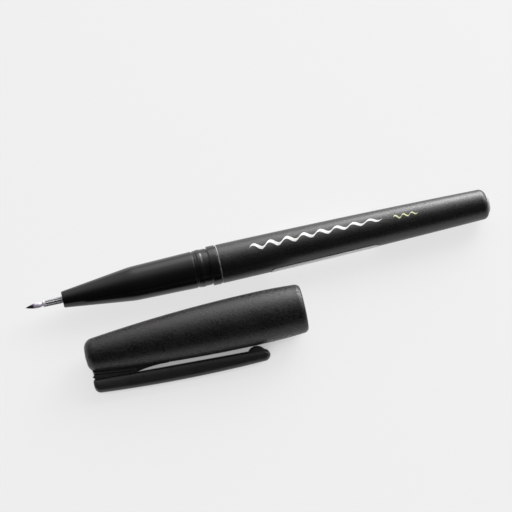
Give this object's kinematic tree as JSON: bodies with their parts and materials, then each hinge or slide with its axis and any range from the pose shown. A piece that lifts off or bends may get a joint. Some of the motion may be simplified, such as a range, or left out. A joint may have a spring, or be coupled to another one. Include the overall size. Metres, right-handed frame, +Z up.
{
  "type": "brush pen",
  "caption": "Slim black brush pen with a soft pointed tip, fibre ink reservoir and a push-on pocket-clip cap that lies beside it.",
  "frame": {"origin": "on the table, under the middle of the box round the lying pen and its cap", "axes": "+X along the pen from the brush tip to the tail, +Z up from the table, the cap on the -Y side"},
  "size_m": [0.1282, 0.0348, 0.0142],
  "materials": {
    "barrel_black": "fine matte, moulded",
    "plug_grey": "gloss",
    "label_paper": "smooth coated paper",
    "grip_black": "satin to gloss, moulded",
    "holder_smoke": "gloss, fluted lengthwise, ink in the flutes",
    "brush_resin": "soft translucent resin, ink-stained at the point",
    "ink_fibre": "fibre bundle soaked with ink",
    "clear_film": "clear film",
    "cap_black": "fine grain, matte",
    "liner_white": "soft matte",
    "clip_black": "satin, moulded"
  },
  "bodies": {
    "pen": {"barrel": "barrel_black", "tail_plug": "plug_grey", "barrel_label": "label_paper", "grip_section": "grip_black", "nib_holder": "holder_smoke", "nib_stem": "brush_resin", "feed_core": "ink_fibre", "ink_reservoir": "ink_fibre", "reservoir_wrap": "clear_film"},
    "brush": {"brush_tip": "brush_resin"},
    "cap": {"cap_shell": "cap_black", "inner_cap": "liner_white"},
    "clip": {"cap_clip": "clip_black"}
  },
  "joints": [
    {"name": "cap_slide", "type": "slide", "parent": "pen", "child": "cap", "axis": [1, 0, 0], "range_m": [-0.085, 0]},
    {"name": "clip_flex", "type": "hinge", "parent": "cap", "child": "clip", "pos_m": [-0.03752, -0.01384, 0.0025], "axis": [0.0374, 0.403, -0.9145], "range_deg": [0, 4], "stiffness_Nm_per_rad": 0.9},
    {"name": "brush_flex", "type": "hinge", "parent": "pen", "child": "brush", "pos_m": [-0.05908, 0.01203, 0.00535], "axis": [0, 1, 0], "range_deg": [-20, 20], "stiffness_Nm_per_rad": 0.001}
  ]
}
